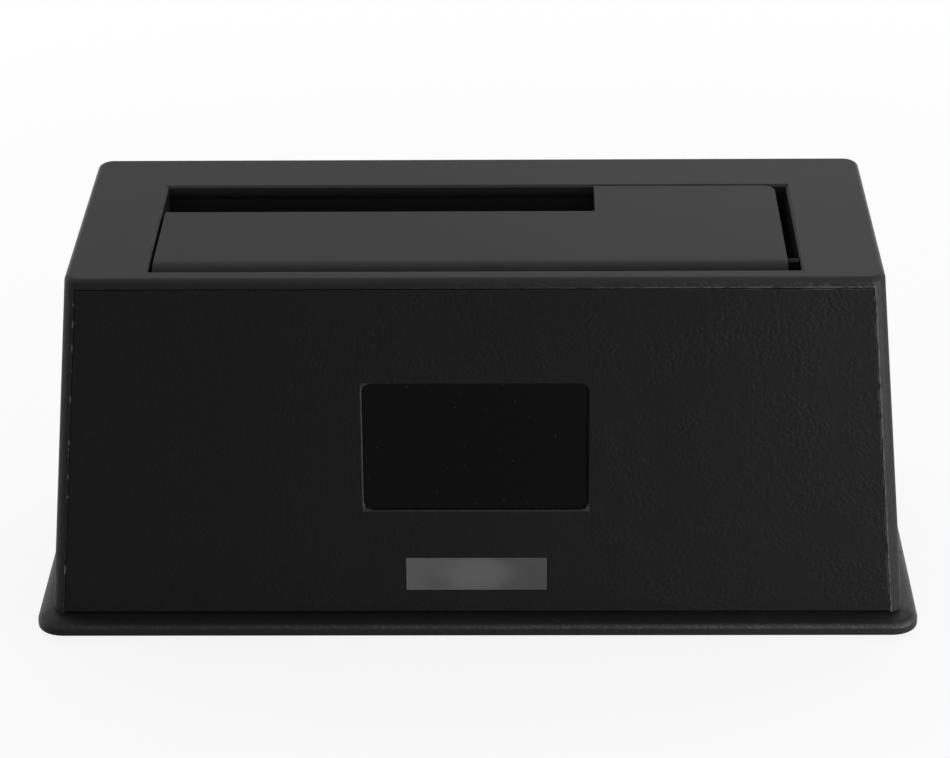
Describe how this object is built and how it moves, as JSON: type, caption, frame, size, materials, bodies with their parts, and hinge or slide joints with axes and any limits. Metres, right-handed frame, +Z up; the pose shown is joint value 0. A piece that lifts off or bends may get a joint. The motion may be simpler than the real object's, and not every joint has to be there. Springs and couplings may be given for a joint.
{
  "type": "hard drive docking station",
  "caption": "Desktop dock with drafted walls on a flanged base; a sprung L-shaped door in the deck admits bare 2.5-inch or 3.5-inch drives onto a socket inside.",
  "frame": {"origin": "on the desk under the middle of the base", "axes": "+Z up, +X to the right seen from the front, the front panel faces -Y"},
  "size_m": [0.1438, 0.0648, 0.061],
  "materials": {
    "housing_plastic": "fine matte texture",
    "door_plastic": "fine matte texture",
    "panel_plastic": "leathery grain",
    "badge_gloss": "polished",
    "lens_plastic": "translucent satin",
    "base_plastic": "fine matte texture",
    "foot_rubber": "matte",
    "screw_steel": "zinc plated",
    "guide_plastic": "moulded",
    "pin_steel": "ground",
    "spring_steel": "drawn wire",
    "board_green": "solder mask",
    "socket_plastic": "moulded",
    "contact_gold": "gold plated",
    "shell_steel": "nickel plated",
    "jack_plastic": "moulded",
    "switch_plastic": "moulded",
    "rocker_plastic": "satin",
    "chip_resin": "moulded resin",
    "crystal_can": "drawn can",
    "capacitor_can": "satin can",
    "choke_ferrite": "matte",
    "led_resin": "clear resin"
  },
  "bodies": {
    "housing": {"top_housing": "housing_plastic", "front_panel": "panel_plastic", "badge_plate": "badge_gloss", "status_lens": "lens_plastic", "base_plate": "base_plastic", "rubber_feet": "foot_rubber", "base_screws": "screw_steel", "drive_guide": "guide_plastic", "guide_screws": "screw_steel", "hinge_pin": "pin_steel", "door_spring": "spring_steel", "main_board": "board_green", "board_screws": "screw_steel", "sata_socket": "socket_plastic", "sata_contacts": "contact_gold", "usb_shell": "shell_steel", "usb_insert": "socket_plastic", "usb_contacts": "contact_gold", "jack_body": "jack_plastic", "jack_pin": "pin_steel", "switch_body": "switch_plastic", "bridge_chip": "chip_resin", "memory_chip": "chip_resin", "crystal": "crystal_can", "capacitors": "capacitor_can", "power_choke": "choke_ferrite", "regulator": "chip_resin", "status_led": "led_resin"},
    "drive_door": {"drive_door": "door_plastic"},
    "power_rocker": {"power_rocker": "rocker_plastic"}
  },
  "joints": [
    {"name": "drive_door_hinge", "type": "hinge", "parent": "housing", "child": "drive_door", "pos_m": [0, -0.0174, 0.057], "axis": [-1, 0, 0], "range_deg": [0, 88], "stiffness_Nm_per_rad": 0.008, "springref_deg": -34.38, "deforming": ["door_spring"]},
    {"name": "power_rocker_pivot", "type": "hinge", "parent": "housing", "child": "power_rocker", "pos_m": [-0.03, 0.02642, 0.013], "axis": [0, 0, -1], "range_deg": [0, 18]}
  ]
}
